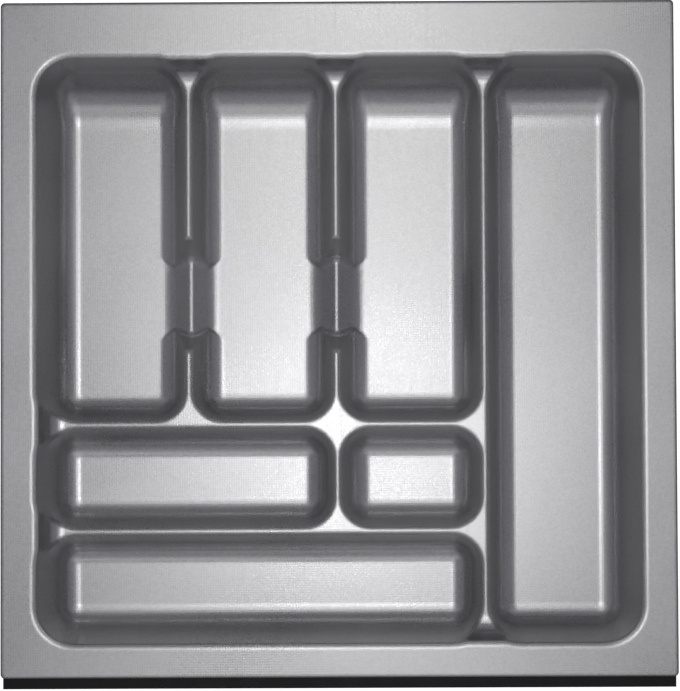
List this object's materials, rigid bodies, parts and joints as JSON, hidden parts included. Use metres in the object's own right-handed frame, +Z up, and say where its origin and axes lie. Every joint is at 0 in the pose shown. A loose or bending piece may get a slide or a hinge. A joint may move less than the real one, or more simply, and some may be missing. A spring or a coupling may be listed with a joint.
{
  "type": "cutlery tray",
  "caption": "Formed plastic cutlery tray for a kitchen drawer, with long, short and wide pockets, finger notches in the dividers and a black closing strip along its front edge.",
  "frame": {"origin": "middle of the tray's footprint, strip included, at the drawer floor", "axes": "+Z up, -Y towards the drawer's front, where the black strip is"},
  "size_m": [0.473, 0.4818, 0.05],
  "materials": {
    "silver_sheet": "satin metallic with a fine grain",
    "black_strip": "matt extruded",
    "tape": "double-sided foam tape"
  },
  "bodies": {
    "root": {"tray_shell": "silver_sheet", "front_strip": "black_strip", "strip_tape": "tape"}
  },
  "joints": []
}
